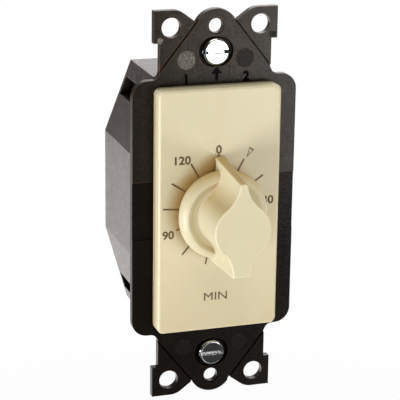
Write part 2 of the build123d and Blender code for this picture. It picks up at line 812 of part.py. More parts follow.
with BuildPart() as movement_screws:
    rod(front_plate_back, front_plate_back + movement_plate_thickness + movement_screw_length - seat_gap,
        movement_screw_radius, boss_places)
    rod(front_plate_back, front_plate_back - movement_screw_head_height, movement_screw_head_radius,
        boss_places)
    with BuildSketch(layer(front_plate_back - movement_screw_head_height)):
        with Locations(*boss_places):
            Rectangle(2 * movement_screw_head_radius, terminal_slot_width)
    extrude(amount=terminal_slot_depth, mode=Mode.SUBTRACT)
movement_screws.part.label = "movement_screws"
export_step(movement_screws.part, "parts/movement_screws.step")


def spoke_windows(place, outer, inner):
    """Round windows that lighten a wheel between its rim and its hub."""
    middle = (outer + inner) / 2
    with Locations(*(toward(place, 360 / spoke_holes * hole, middle) for hole in range(spoke_holes))):
        Circle((outer - inner) / 2, mode=Mode.SUBTRACT)


def train_wheel(place, teeth, module, first_tooth, start):
    """Wheel of the train, pressed on its arbor."""
    rim = pitch_radius(teeth, module) - (wheel_dedendum_share + 1) * module
    with BuildSketch(layer(-start)) as profile:
        wheel_outline(place, teeth, module, first_tooth)
        spoke_windows(place, rim, rim * (1 - wheel_web_share))
        with Locations(place):
            Circle(train_arbor_radius + press_gap, mode=Mode.SUBTRACT)
    extrude(profile.sketch, amount=-wheel_thickness)


def train_arbor(place, module, first_tooth, pinion_start):
    """Arbor with its pinion cut from one bar and a thin pivot at each end."""
    rod(front_plate_back - seat_gap, back_plate_level + seat_gap, train_arbor_radius, (place,))
    rod(front_plate_level - seat_gap, back_plate_back + seat_gap, train_pivot_radius, (place,))
    with BuildSketch(layer(-pinion_start)) as profile:
        pinion_outline(place, module, first_tooth)
    extrude(profile.sketch, amount=-pinion_length)


gap_turn = 180 / pinion_teeth
click_pivot = (click_side_reach, -click_pivot_reach)
pinion_overlap = (pinion_length - wheel_thickness) / 2

# Main wheel on the winding arbor, with the ratchet that lets the knob be wound
with BuildPart() as main_wheel:
    main_rim = pitch_radius(main_teeth, main_module) - (wheel_dedendum_share + 1) * main_module
    with BuildSketch(layer(-main_wheel_start)):
        wheel_outline((0, 0), main_teeth, main_module, second_direction)
        Circle(arbor_radius + press_gap, mode=Mode.SUBTRACT)
        window_middle = (main_rim + click_pivot_reach + click_width) / 2
        with Locations(*(toward((0, 0), 360 / spoke_holes * hole + second_direction, window_middle)
                         for hole in range(1, spoke_holes))):
            Circle((main_rim - click_pivot_reach - click_width) / 2, mode=Mode.SUBTRACT)
        with Locations(click_pivot):
            Circle(click_rivet_radius + press_gap, mode=Mode.SUBTRACT)
    extrude(amount=-main_wheel_thickness)
main_wheel.part.label = "main_wheel"
export_step(main_wheel.part, "parts/main_wheel.step")

ratchet_level = -(main_wheel_start + main_wheel_thickness)
with BuildPart() as ratchet_wheel:
    with BuildSketch(layer(ratchet_level)):
        saw_outline((0, 0), ratchet_teeth, ratchet_radius, ratchet_root_radius, 0.1)
        Circle(arbor_radius + press_gap, mode=Mode.SUBTRACT)
    extrude(amount=-ratchet_thickness)
ratchet_wheel.part.label = "ratchet_wheel"
export_step(ratchet_wheel.part, "parts/ratchet_wheel.step")

with BuildPart() as ratchet_click:
    with BuildSketch(layer(ratchet_level)):
        bar(click_pivot, (0, -click_nose_reach), click_width)
    extrude(amount=-ratchet_thickness)
    rod(-main_wheel_start, ratchet_level, click_rivet_radius, (click_pivot,))
ratchet_click.part.label = "ratchet_click"
export_step(ratchet_click.part, "parts/ratchet_click.step")

with BuildPart() as second_wheel:
    train_wheel(second_place, second_teeth, second_module, third_direction, second_wheel_start)
second_wheel.part.label = "second_wheel"
export_step(second_wheel.part, "parts/second_wheel.step")

with BuildPart() as second_pinion:
    train_arbor(second_place, main_module, second_direction + half_turn + gap_turn,
                main_wheel_start + (main_wheel_thickness - pinion_length) / 2)
second_pinion.part.label = "second_pinion"
export_step(second_pinion.part, "parts/second_pinion.step")

with BuildPart() as third_wheel:
    train_wheel(third_place, third_teeth, third_module, escape_direction, third_wheel_start)
third_wheel.part.label = "third_wheel"
export_step(third_wheel.part, "parts/third_wheel.step")

with BuildPart() as third_pinion:
    train_arbor(third_place, second_module, third_direction + half_turn + gap_turn,
                second_wheel_start - pinion_overlap)
third_pinion.part.label = "third_pinion"
export_step(third_pinion.part, "parts/third_pinion.step")

with BuildPart() as escape_wheel:
    with BuildSketch(layer(-escape_wheel_start)):
        saw_outline(escape_place, escape_teeth, escape_radius, escape_root_radius, 0.35)
        with Locations(escape_place):
            Circle(train_arbor_radius + press_gap, mode=Mode.SUBTRACT)
    extrude(amount=-wheel_thickness)
escape_wheel.part.label = "escape_wheel"
export_step(escape_wheel.part, "parts/escape_wheel.step")

with BuildPart() as escape_pinion:
    train_arbor(escape_place, third_module, escape_direction + half_turn + gap_turn,
                third_wheel_start - pinion_overlap)
escape_pinion.part.label = "escape_pinion"
export_step(escape_pinion.part, "parts/escape_pinion.step")

# Verge: two pallets beside the escape wheel, and a cross bar that gives it weight
with BuildPart() as verge:
    with BuildSketch(layer(-escape_wheel_start + (verge_thickness - wheel_thickness) / 2)):
        with Locations(verge_place):
            Circle(verge_hub_radius)
        bar(toward(verge_place, verge_direction + 90, verge_bar_length / 2),
            toward(verge_place, verge_direction - 90, verge_bar_length / 2), verge_arm_width)
        for turn in (-pallet_angle, pallet_angle):
            bar(toward(verge_place, verge_direction + 90 * (1 if turn > 0 else -1), verge_bar_length / 2),
                toward(escape_place, verge_direction + turn, pallet_radius), verge_arm_width)
        with Locations(verge_place):
            Circle(train_pivot_radius + press_gap, mode=Mode.SUBTRACT)
    extrude(amount=-verge_thickness)
verge.part.label = "verge"
export_step(verge.part, "parts/verge.step")

with BuildPart() as verge_staff:
    rod(front_plate_level - seat_gap, back_plate_back + seat_gap, train_pivot_radius, (verge_place,))
verge_staff.part.label = "verge_staff"
export_step(verge_staff.part, "parts/verge_staff.step")


# Mainspring: a flat ribbon wound in half circles about two centres, and hooked on a pillar
def ribbon_side(outward):
    """One side of the ribbon, as half circles that each are wider than the one before."""
    for half in range(2 * spring_turns):
        side = -1 if half % 2 else 1
        CenterArc((-side * spring_pitch / 4, 0), spring_start_radius + spring_pitch / 2 * half + outward,
                  90 - 90 * side, -180)
    Line((spring_outer_end + outward, 0), (spring_outer_end + outward, -lower_pillar_drop))
    CenterArc((lower_pillar_x, -lower_pillar_drop), hook_radius + spring_ribbon - outward, 180, hook_turn)


spring_inner_end = spring_start_radius - spring_pitch / 4
hook_end = (cos(pi + radians(hook_turn)), sin(pi + radians(hook_turn)))
with BuildPart() as mainspring:
    with BuildSketch(layer(-spring_start_level)):
        with BuildLine():
            ribbon_side(0)
            ribbon_side(spring_ribbon)
            Line((spring_inner_end, 0), (spring_inner_end + spring_ribbon, 0))
            Line((lower_pillar_x + hook_radius * hook_end[0], -lower_pillar_drop + hook_radius * hook_end[1]),
                 (lower_pillar_x + (hook_radius + spring_ribbon) * hook_end[0],
                  -lower_pillar_drop + (hook_radius + spring_ribbon) * hook_end[1]))
        make_face()
    extrude(amount=-spring_width)
mainspring.part.label = "mainspring"
export_step(mainspring.part, "parts/mainspring.step")


# Switch cam with one lobe, which holds the contacts open while the knob is at zero
with BuildPart() as switch_cam:
    with BuildSketch(layer(-cam_start)):
        Circle(cam_radius)
        with BuildLine():
            Polyline((0, cam_lobe_foot_half_width), (-cam_radius, cam_lobe_foot_half_width),
                     (-cam_lobe_reach, cam_lobe_half_width), (-cam_lobe_reach, -cam_lobe_half_width),
                     (-cam_radius, -cam_lobe_foot_half_width), (0, -cam_lobe_foot_half_width), close=True)
        make_face()
        Circle(arbor_radius + press_gap, mode=Mode.SUBTRACT)
    extrude(amount=-cam_thickness)
switch_cam.part.label = "switch_cam"
export_step(switch_cam.part, "parts/switch_cam.step")

lever_nose = (-(cam_lobe_reach + lever_nose_gap + lever_nose_radius), 0)
moving_pad_top = moving_contact_top - moving_contact_height
pad_middle = (contact_x, moving_pad_top - lever_pad_height / 2)
with BuildPart() as contact_lever:
    with BuildSketch(layer(-lever_start)):
        bar(lever_pivot, lever_nose, lever_arm_width)
        bar(lever_pivot, pad_middle, lever_arm_width)
        with Locations(lever_pivot):
            Circle(lever_hub_radius)
        with Locations(pad_middle):
            Rectangle(lever_pad_width, lever_pad_height)
        with Locations(lever_pivot):
            Circle(post_radius + running_gap, mode=Mode.SUBTRACT)
    extrude(amount=-lever_thickness)
    upright_rod(moving_pad_top - moving_contact_shank, moving_pad_top, contact_shank_radius + press_gap,
                contact_x, contact_level, Mode.SUBTRACT)
contact_lever.part.label = "contact_lever"
export_step(contact_lever.part, "parts/contact_lever.step")

with BuildPart() as moving_contact:
    upright_rod(moving_pad_top, moving_contact_top, contact_face_radius, contact_x, contact_level)
    upright_rod(moving_pad_top - moving_contact_shank, moving_pad_top, contact_shank_radius, contact_x,
                contact_level)
moving_contact.part.label = "moving_contact"
export_step(moving_contact.part, "parts/moving_contact.step")

with BuildPart() as lever_post:
    rod(0, -terminal_thickness, post_tenon_radius, (lever_pivot,))
    rod(-terminal_thickness, -post_end, post_radius, (lever_pivot,))
    rod(-terminal_thickness, seat_gap - lever_start, post_collar_radius, (lever_pivot,))
lever_post.part.label = "lever_post"
export_step(lever_post.part, "parts/lever_post.step")

with BuildPart() as lever_spring:
    with BuildLine():
        coil = Helix(lever_spring_pitch, lever_spring_pitch * lever_spring_turns, lever_spring_radius,
                     center=(lever_pivot[0], lever_spring_start, lever_pivot[1]), direction=(0, 1, 0))
    with BuildSketch(Plane(origin=coil @ 0, z_dir=coil % 0)):
        RegularPolygon(lever_spring_wire, wire_sides)
    sweep()
lever_spring.part.label = "lever_spring"
export_step(lever_spring.part, "parts/lever_spring.step")


# Terminals: a base on the strap's back and a leg that reaches into its pocket
leg_inner_x = pocket_floor_x + seat_gap
leg_outer_x = leg_inner_x + leg_thickness
fixed_contact_bottom = moving_contact_top + contact_opening
tab_bottom = fixed_contact_bottom + fixed_contact_height
tab_left = contact_x - contact_tab_width / 2

with BuildPart() as load_terminal:
    with BuildSketch(layer(0)):
        span(-leg_outer_x, -load_base_right, load_base_bottom, base_top)
        span(-leg_outer_x, -leg_inner_x, leg_bottom, leg_top)
        with Locations(lever_pivot):
            Circle(post_tenon_radius + press_gap, mode=Mode.SUBTRACT)
    extrude(amount=-terminal_thickness)
    with BuildSketch(layer(0)):
        span(-leg_outer_x, -leg_inner_x, leg_bottom, leg_top)
    extrude(amount=-leg_end)
    cross_rod(-leg_outer_x, -leg_inner_x, terminal_screw_radius + press_gap, terminal_screw_depth,
              terminal_screw_z, Mode.SUBTRACT)
load_terminal.part.label = "load_terminal"
export_step(load_terminal.part, "parts/load_terminal.step")

with BuildPart() as line_terminal:
    with BuildSketch(layer(0)):
        span(line_base_left, leg_outer_x, line_base_bottom, base_top)
        span(leg_inner_x, leg_outer_x, leg_bottom, leg_top)
        span(tab_left, tab_left + contact_tab_width, base_top, tab_bottom + terminal_thickness)
    extrude(amount=-terminal_thickness)
    with BuildSketch(layer(0)):
        span(leg_inner_x, leg_outer_x, leg_bottom, leg_top)
    extrude(amount=-leg_end)
    with BuildSketch(layer(0)):
        span(tab_left, tab_left + contact_tab_width, tab_bottom, tab_bottom + terminal_thickness)
    extrude(amount=-contact_tab_end)
    cross_rod(leg_inner_x, leg_outer_x, terminal_screw_radius + press_gap, terminal_screw_depth,
              terminal_screw_z, Mode.SUBTRACT)
    upright_rod(tab_bottom, tab_bottom + terminal_thickness, contact_shank_radius + press_gap, contact_x,
                contact_level, Mode.SUBTRACT)
line_terminal.part.label = "line_terminal"
export_step(line_terminal.part, "parts/line_terminal.step")

with BuildPart() as fixed_contact:
    upright_rod(fixed_contact_bottom, tab_bottom, contact_face_radius, contact_x, contact_level)
    upright_rod(tab_bottom, tab_bottom + terminal_thickness, contact_shank_radius, contact_x, contact_level)
fixed_contact.part.label = "fixed_contact"
export_step(fixed_contact.part, "parts/fixed_contact.step")

terminal_head_end = terminal_screw_head_x + terminal_screw_head_thickness
with BuildPart() as terminal_screws:
    cross_rod(terminal_screw_tip_x, terminal_screw_head_x, terminal_screw_radius, terminal_screw_depth,
              terminal_screw_z)
    cross_rod(terminal_screw_head_x, terminal_head_end, terminal_screw_head_radius, terminal_screw_depth,
              terminal_screw_z)
    with BuildSketch(Plane.YZ.offset(terminal_head_end)):
        with Locations((terminal_screw_depth, terminal_screw_z)):
            Rectangle(2 * terminal_screw_head_radius, terminal_slot_width)
    extrude(amount=-terminal_slot_depth, mode=Mode.SUBTRACT)
    mirror(about=Plane.YZ)
terminal_screws.part.label = "terminal_screws"
export_step(terminal_screws.part, "parts/terminal_screws.step")

for name, side in (("line", 1), ("load", -1)):
    with BuildPart() as wire_clamp:
        with BuildSketch(Plane.YZ.offset(side * wire_clamp_x)):
            with Locations((terminal_screw_depth, terminal_screw_z)):
                Rectangle(wire_clamp_side, wire_clamp_side)
                Circle(terminal_screw_radius + running_gap, mode=Mode.SUBTRACT)
        extrude(amount=side * wire_clamp_thickness)
    wire_clamp.part.label = f"{name}_wire_clamp"
    export_step(wire_clamp.part, f"parts/{name}_wire_clamp.step")
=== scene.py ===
"""Looks of the spring-wound timer switch: plastics, plated steel, printing and small moulded detail."""
import json
from math import cos, pi, radians, sin

import bmesh
import bpy
from mathutils import Matrix, Vector


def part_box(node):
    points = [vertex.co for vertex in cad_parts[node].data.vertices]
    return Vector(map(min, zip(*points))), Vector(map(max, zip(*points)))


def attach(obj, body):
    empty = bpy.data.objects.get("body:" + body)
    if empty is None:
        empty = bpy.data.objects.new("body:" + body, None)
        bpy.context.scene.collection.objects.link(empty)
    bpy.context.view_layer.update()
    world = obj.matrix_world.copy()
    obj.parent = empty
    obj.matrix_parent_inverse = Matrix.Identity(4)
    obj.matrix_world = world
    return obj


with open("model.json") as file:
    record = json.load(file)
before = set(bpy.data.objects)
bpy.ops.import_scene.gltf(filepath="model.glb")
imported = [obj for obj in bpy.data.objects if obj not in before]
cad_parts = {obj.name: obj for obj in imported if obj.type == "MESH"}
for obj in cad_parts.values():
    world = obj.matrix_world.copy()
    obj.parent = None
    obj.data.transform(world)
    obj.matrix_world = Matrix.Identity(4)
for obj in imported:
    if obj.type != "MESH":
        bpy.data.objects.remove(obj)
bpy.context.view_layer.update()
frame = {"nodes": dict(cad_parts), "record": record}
nodes = frame["nodes"]
scene = bpy.context.scene
scene.view_settings.view_transform = "Standard"
mm = 0.001

# Levels in front of the strap's back face, and other places read from the frame
strap_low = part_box("mounting_strap")[0]
strap_front = -strap_low[1]
plate_front = -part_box("face_plate")[0][1]
housing_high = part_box("rear_housing")[1]
screws_low, screws_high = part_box("box_screws")
screw_front = -screws_low[1]
# How far the box screws stand above and below the middle: half their standard spacing
screw_height = 41.67 * mm
# Points whose depths differ by less than this lie in one face
same_level = 0.002 * mm


def linear(value):
    """Display value from 0 to 255 as linear light."""
    share = value / 255
    return share / 12.92 if share <= 0.04045 else ((share + 0.055) / 1.055) ** 2.4


def tone(red, green, blue):
    """Colour given in display values."""
    return (linear(red), linear(green), linear(blue), 1.0)


class Shader:
    """A material whose nodes are added and joined by short calls."""

    def __init__(self, name):
        self.material = bpy.data.materials.new(name)
        self.material.use_nodes = True
        self.tree = self.material.node_tree
        self.surface = self.tree.nodes["Principled BSDF"]
        self.place = self.add("ShaderNodeTexCoord").outputs["Object"]

    def add(self, kind, **values):
        node = self.tree.nodes.new(kind)
        for name, value in values.items():
            self.put(node, name, value)
        return node

    def put(self, node, name, value):
        """Sets a socket or setting, or links a socket to an output."""
        key = name.replace("_", " ")
        socket = next((s for s in node.inputs if s.name.lower() == key.lower()), None)
        if socket is None:
            setattr(node, name, value)
        elif isinstance(value, bpy.types.NodeSocket):
            self.tree.links.new(value, socket)
        else:
            socket.default_value = value

    def base(self, **values):
        """Sets sockets of the surface."""
        for name, value in values.items():
            self.put(self.surface, name, value)

    def noise(self, scale, detail=3.0, roughness=0.5, stretch=(1, 1, 1), distortion=0.0):
        """Fractal noise in object space, with its scale per metre."""
        placed = self.add("ShaderNodeMapping", vector=self.place, scale=stretch)
        made = self.add("ShaderNodeTexNoise", vector=placed.outputs["Vector"], scale=scale, detail=detail,
                        roughness=roughness, distortion=distortion)
        return made.outputs["Fac"]

    def ramp(self, source, *stops):
        """Colour ramp through (position, colour) stops."""
        made = self.add("ShaderNodeValToRGB")
        made.color_ramp.elements[0].position, made.color_ramp.elements[0].color = stops[0]
        made.color_ramp.elements[1].position, made.color_ramp.elements[1].color = stops[-1]
        for position, colour in stops[1:-1]:
            made.color_ramp.elements.new(position).color = colour
        self.tree.links.new(source, made.inputs["Fac"])
        return made.outputs["Color"]

    def spread(self, source, low, high, start=0.0, end=1.0):
        """Maps a value from start..end onto low..high."""
        made = self.add("ShaderNodeMapRange")
        self.tree.links.new(source, made.inputs["Value"])
        for name, value in (("From Min", start), ("From Max", end), ("To Min", low), ("To Max", high)):
            made.inputs[name].default_value = value
        return made.outputs["Result"]

    def math(self, operation, first, second):
        """Arithmetic on two values."""
        made = self.tree.nodes.new("ShaderNodeMath")
        made.operation = operation
        for socket, value in zip(made.inputs, (first, second)):
            if isinstance(value, bpy.types.NodeSocket):
                self.tree.links.new(value, socket)
            else:
                socket.default_value = value
        return made.outputs["Value"]

    def mix(self, share, first, second):
        """Mix of two colours."""
        made = self.tree.nodes.new("ShaderNodeMix")
        made.data_type = "RGBA"
        for name, value in (("Factor_Float", share), ("A_Color", first), ("B_Color", second)):
            socket = next(s for s in made.inputs if s.identifier == name)
            if isinstance(value, bpy.types.NodeSocket):
                self.tree.links.new(value, socket)
            else:
                socket.default_value = value
        return next(s for s in made.outputs if s.identifier == "Result_Color")

    def edges(self, radius, gain):
        """Mask that is 1 on sharp edges and 0 on flat stretches."""
        rounded = self.add("ShaderNodeBevel", radius=radius)
        flat = self.add("ShaderNodeNewGeometry").outputs["Normal"]
        dot = self.tree.nodes.new("ShaderNodeVectorMath")
        dot.operation = "DOT_PRODUCT"
        self.tree.links.new(rounded.outputs["Normal"], dot.inputs[0])
        self.tree.links.new(flat, dot.inputs[1])
        return self.math("MULTIPLY", self.math("SUBTRACT", 1.0, dot.outputs["Value"]), gain)

    def bumps(self, height, depth, rounding=0.0):
        """Bump from a height value, with its depth in metres, over softly rounded edges."""
        made = self.add("ShaderNodeBump", distance=depth, strength=1.0)
        self.tree.links.new(height, made.inputs["Height"])
        if rounding:
            rounded = self.add("ShaderNodeBevel", radius=rounding)
            self.tree.links.new(rounded.outputs["Normal"], made.inputs["Normal"])
        self.base(normal=made.outputs["Normal"])


def smooth_step(look, coordinate, level, width):
    """Mask that goes from 0 to 1 over a width about a level of one coordinate, both in metres."""
    axes = look.add("ShaderNodeSeparateXYZ", vector=look.place)
    return look.spread(axes.outputs[coordinate], 0.0, 1.0, level - width / 2, level + width / 2)


def ivory_plastic(name, light, dark, above, reach, shaded, open_side=None, rim=0.55 * mm,
                  pale=tone(255, 252, 238), deepest=tone(160, 112, 30)):
    """Smooth moulded plastic: faint flow pattern, a painted highlight along rims, and painted warm shade
    where hemmed in.

    Above is the colour painted on faces that look up, as light or shade, pale that of the painted highlight
    on sharp edges within the rim's width, and deepest that of the painted shade in the most hemmed-in places.
    The reach is how far the plastic looks for its neighbours, and shaded holds the open share at which the
    painted shade is full and that at which it is plain.

    Only the face plate has an open side, the way that it looks for neighbours, so that its painted shade lies
    as a painted shadow on one side of them. More shade and light painted by place comes with it: browner to
    the lower end, paler on the left side, and by the strap dark on the upper face and yellowish on the left.
    """
    look = Shader(name)
    flow = look.noise(55, detail=4, stretch=(1, 1, 0.4), distortion=0.6)
    body = look.ramp(flow, (0.3, dark), (0.7, light))
    # Painted warm shade where the plastic is hemmed in, from ambient occlusion
    openness = look.add("ShaderNodeAmbientOcclusion", distance=reach, samples=8)
    painted_shade = look.spread(openness.outputs["AO"], 1.0, 0.0, *shaded)
    facing = look.add("ShaderNodeSeparateXYZ", vector=look.add("ShaderNodeNewGeometry").outputs["Normal"])
    # Painted light or shade on faces that look up
    body = look.mix(look.spread(facing.outputs["Z"], 0.0, 0.8, 0.3, 0.9), body, above)
    if open_side:
        # On the plate the painted shade looks one way only and stays on front faces: a painted shadow beside
        # what stands on it
        way = look.add("ShaderNodeCombineXYZ", X=open_side[0], Y=open_side[1], Z=open_side[2])
        look.put(openness, "Normal", way.outputs["Vector"])
        painted_shade = look.math("MULTIPLY", painted_shade, look.spread(facing.outputs["Y"], 1.0, 0.0, -0.999, -0.985))
        # Painted shade: browner to the lower end
        low = smooth_step(look, "Z", -14 * mm, 40 * mm)
        body = look.mix(look.spread(low, 0.45, 0.0), body, tone(200, 184, 143))
        # Painted shade on the upper face by the strap
        at_strap = smooth_step(look, "Y", -strap_front - 1.3 * mm, 2.4 * mm)
        upward = look.spread(facing.outputs["Z"], 0.0, 1.0, 0.5, 0.9)
        body = look.mix(look.math("MULTIPLY", at_strap, upward), body, tone(60, 52, 26))
        # Painted light on the left side, with painted yellowish shade on it by the strap
        leftward = look.spread(facing.outputs["X"], 1.0, 0.0, -0.97, -0.75)
        body = look.mix(leftward, body, tone(232, 220, 190))
        body = look.mix(look.math("MULTIPLY", at_strap, leftward), body, tone(178, 150, 86))
    # Painted shade in hollows and beside neighbours
    deep = look.mix(painted_shade, body, deepest)
    # Painted highlight along sharp edges
    rim_highlight = look.mix(look.edges(rim, 4.5), deep, pale)
    look.base(base_color=rim_highlight, subsurface_weight=0.12, subsurface_scale=1.2 * mm,
              subsurface_radius=(1.0, 0.75, 0.4), ior=1.5,
              roughness=look.spread(look.noise(900, detail=2), 0.30, 0.42))
    look.bumps(look.noise(1500, detail=2), 0.006 * mm, rounding=0.15 * mm)
    return look.material


# Height at which the strap's mould changes its texture
texture_parting = 7.9 * mm


def strap_plastic():
    """Black moulding: sand texture and greyer above the mould's parting, smoother and darker below it.

    Painted shade makes it darker to the left, where it is also duller, and black in hollows; a painted brown
    highlight runs along its edges.
    """
    look = Shader("strap_plastic")
    grain = look.noise(1500, detail=4, roughness=0.65)
    cloud = look.noise(110, detail=4)
    upper = smooth_step(look, "Z", texture_parting, 0.3 * mm)
    dark = look.ramp(cloud, (0.3, tone(16, 13, 11)), (0.7, tone(25, 20, 16)))
    mottle = look.noise(420, detail=5, roughness=0.7)
    speck = look.mix(look.spread(mottle, 0.0, 0.55, 0.42, 0.6),
                     look.ramp(grain, (0.42, tone(10, 8, 7)), (0.64, tone(76, 65, 52))), tone(74, 65, 55))
    grey = look.mix(look.spread(cloud, 0.25, 0.85, 0.35, 0.65), speck, tone(40, 35, 29))
    body = look.mix(upper, look.mix(look.spread(grain, 0.0, 0.3, 0.5, 0.7), dark, tone(46, 39, 32)), grey)
    # Painted shade: black and less shiny in hollows
    open_share = look.add("ShaderNodeAmbientOcclusion", distance=2.5 * mm, samples=6).outputs["AO"]
    hollow_shade = look.spread(open_share, 1.0, 0.0, 0.3, 0.75)
    # Painted brown highlight along sharp edges, mostly above the parting
    rim = look.math("MULTIPLY", look.edges(0.3 * mm, 2.4), look.spread(upper, 0.06, 1.0))
    # Painted shade: darker and duller to the left
    across = smooth_step(look, "X", 0.0, 44 * mm)
    sheen = look.math("MULTIPLY", look.spread(across, 0.2, 1.3), look.spread(upper, 0.18, 0.36))
    edge_highlighted = look.mix(rim, look.mix(look.spread(across, 0.7, 0.0, 0.0, 0.3), body, tone(22, 19, 16)),
                    tone(122, 88, 62))
    look.base(base_color=look.mix(hollow_shade, edge_highlighted, tone(8, 6, 5)),
              specular_ior_level=look.math("MULTIPLY", sheen, look.spread(hollow_shade, 1.0, 0.1)),
              roughness=look.spread(upper, 0.25, 0.36))
    look.bumps(grain, 0.06 * mm, rounding=0.15 * mm)
    return look.material


def housing_plastic():
    """Dark moulding with a fine spark finish: slightly brown, with a painted highlight along edges and
    painted black shade in hollows.
    """
    look = Shader("housing_plastic")
    grain = look.noise(1700, detail=4, roughness=0.65)
    cloud = look.noise(60, detail=4, stretch=(1, 1, 0.3))
    mottle = look.noise(380, detail=5, roughness=0.7)
    body = look.ramp(cloud, (0.32, tone(38, 32, 30)), (0.68, tone(58, 52, 49)))
    patchy = look.mix(look.spread(mottle, 0.0, 0.16, 0.45, 0.65), body, tone(88, 78, 73))
    fine = look.mix(look.spread(grain, 0, 0.6, 0.48, 0.7), patchy, tone(104, 97, 93))
    # Painted highlight along sharp edges
    edge_highlighted = look.mix(look.edges(0.25 * mm, 2.2), fine, tone(150, 136, 126))
    # Painted shade: black and dull in hollows
    open_share = look.add("ShaderNodeAmbientOcclusion", distance=7 * mm, samples=6).outputs["AO"]
    hollow_shade = look.spread(open_share, 1.0, 0.0, 0.4, 0.85)
    look.base(base_color=look.mix(hollow_shade, edge_highlighted, tone(10, 9, 8)), ior=1.6,
              specular_ior_level=look.math("MULTIPLY", look.spread(hollow_shade, 0.5, 0.0),
                                           look.spread(mottle, 0.88, 1.12, 0.35, 0.65)),
              roughness=look.spread(grain, 0.28, 0.55, 0.3, 0.7))
    look.bumps(grain, 0.05 * mm, rounding=0.15 * mm)
    return look.material


def smooth_black(name, light, dark, shine=0.3):
    """The smoother black of marks that an ejector pin or a stamp leaves."""
    look = Shader(name)
    grain = look.noise(1600, detail=3)
    look.base(base_color=look.ramp(grain, (0.38, dark), (0.66, light)), specular_ior_level=shine,
              roughness=look.spread(look.noise(2600), 0.24, 0.42))
    look.bumps(grain, 0.02 * mm, rounding=0.08 * mm)
    return look.material


def plated(name, light, dark, low, high, streak=(1, 1, 1)):
    """Metal with fine streaks and soft blotches in its finish."""
    look = Shader(name)
    blotch = look.noise(350, detail=4)
    lines = look.noise(2500, detail=2, stretch=streak)
    look.base(base_color=look.ramp(blotch, (0.3, dark), (0.7, light)), metallic=1.0,
              roughness=look.spread(lines, low, high, 0.3, 0.7))
    look.bumps(lines, 0.003 * mm, rounding=0.1 * mm)
    return look.material


def moulded(name, light, dark):
    """Plain matt finish, for the moulded cam and for small pale pieces that paint highlights on the outside.
    """
    look = Shader(name)
    grain = look.noise(1800, detail=3)
    look.base(base_color=look.ramp(look.noise(200), (0.3, dark), (0.7, light)),
              roughness=look.spread(grain, 0.4, 0.6))
    look.bumps(grain, 0.02 * mm, rounding=0.1 * mm)
    return look.material


def printing_ink():
    """Olive-brown ink, slightly thin in places."""
    look = Shader("printing_ink")
    patch = look.noise(2200, detail=3)
    look.base(base_color=look.ramp(patch, (0.35, tone(108, 88, 52)), (0.75, tone(86, 68, 38))),
              roughness=look.spread(patch, 0.45, 0.6))
    look.bumps(patch, 0.004 * mm)
    return look.material


# One finish for each slot of the record
finishes = {
    # The knob's plastic: painted shade on faces that look up and in hollows, and a painted highlight along
    # rims
    "ivory_plastic": ivory_plastic("ivory_plastic", tone(221, 213, 181), tone(215, 206, 172),
                                   tone(196, 168, 104), 4 * mm, (0.15, 0.55)),
    "black_plastic": strap_plastic(),
    "cam_plastic": moulded("cam_plastic", tone(150, 96, 60), tone(126, 78, 46)),
    "zinc_steel": plated("zinc_steel", tone(232, 233, 234), tone(202, 205, 208), 0.07, 0.14, (1, 1, 6)),
    "steel": plated("steel", tone(190, 190, 190), tone(160, 160, 162), 0.25, 0.4, (1, 8, 1)),
    "spring_steel": plated("spring_steel", tone(92, 98, 112), tone(62, 66, 78), 0.2, 0.35, (1, 1, 8)),
    "brass": plated("brass", tone(212, 182, 112), tone(190, 156, 86), 0.22, 0.36, (8, 1, 1)),
    "terminal_brass": plated("terminal_brass", tone(206, 172, 104), tone(178, 142, 80), 0.25, 0.4, (1, 6, 1)),
    "contact_silver": plated("contact_silver", tone(236, 235, 230), tone(208, 207, 202), 0.15, 0.25),
}
ink = printing_ink()
smooth = smooth_black("smooth_black", tone(32, 27, 23), tone(16, 13, 11), 0.14)
# Near-black of raised letters and marks, also used for pieces that paint shade
letter_and_shade_black = smooth_black("letter_and_shade_black", tone(10, 8, 7), tone(5, 4, 4), 0.04)
pin_mark = smooth_black("pin_mark", tone(44, 39, 34), tone(18, 15, 13), 0.14)
pale_mark = smooth_black("pale_mark", tone(116, 110, 101), tone(66, 60, 53), 0.3)
# Near-white plastic of the bead along the handle's edge: a painted highlight
rim_highlight_ivory = ivory_plastic("rim_highlight_ivory", tone(253, 250, 236), tone(247, 242, 222), tone(253, 250, 236), 1 * mm,
                          (0.0, 0.1))
housing_finish = housing_plastic()
for entry in frame["record"]["subparts"]:
    mesh = nodes[entry["node"]].data
    mesh.materials.clear()
    mesh.materials.append(finishes[entry["material_slot"]])
nodes["rear_housing"].data.materials[0] = housing_finish
# The face plate's plastic: a painted shadow beside what stands on it, painted shade and light by place, and a
# painted highlight along rims
nodes["face_plate"].data.materials[0] = ivory_plastic(
    "plate_ivory", tone(221, 213, 182), tone(216, 207, 174), tone(255, 250, 218), 4.6 * mm, (0.32, 0.68),
    open_side=(0.68, -0.52, -0.52), rim=0.9 * mm, pale=tone(240, 230, 199), deepest=tone(152, 108, 12))


def add_piece(name, built, material, body):
    """Turns a bmesh into one named piece and lets it ride on a body."""
    bmesh.ops.recalc_face_normals(built, faces=built.faces)
    mesh = bpy.data.meshes.new(name)
    built.to_mesh(mesh)
    built.free()
    mesh.materials.append(material)
    made = bpy.data.objects.new(name, mesh)
    scene.collection.objects.link(made)
    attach(made, body)


def piece(name, mesh_maker, material, body):
    """Makes one named piece from a bmesh function."""
    built = bmesh.new()
    mesh_maker(built)
    add_piece(name, built, material, body)


def slab(built, outline, back, front):
    """Adds a flat slab between two levels, from an (x, z) outline in metres."""
    rear = [built.verts.new((x, -back, z)) for x, z in outline]
    face = [built.verts.new((x, -front, z)) for x, z in outline]
    built.faces.new(rear)
    built.faces.new(list(reversed(face)))
    for i in range(len(outline)):
        built.faces.new((rear[i], rear[i - 1], face[i - 1], face[i]))


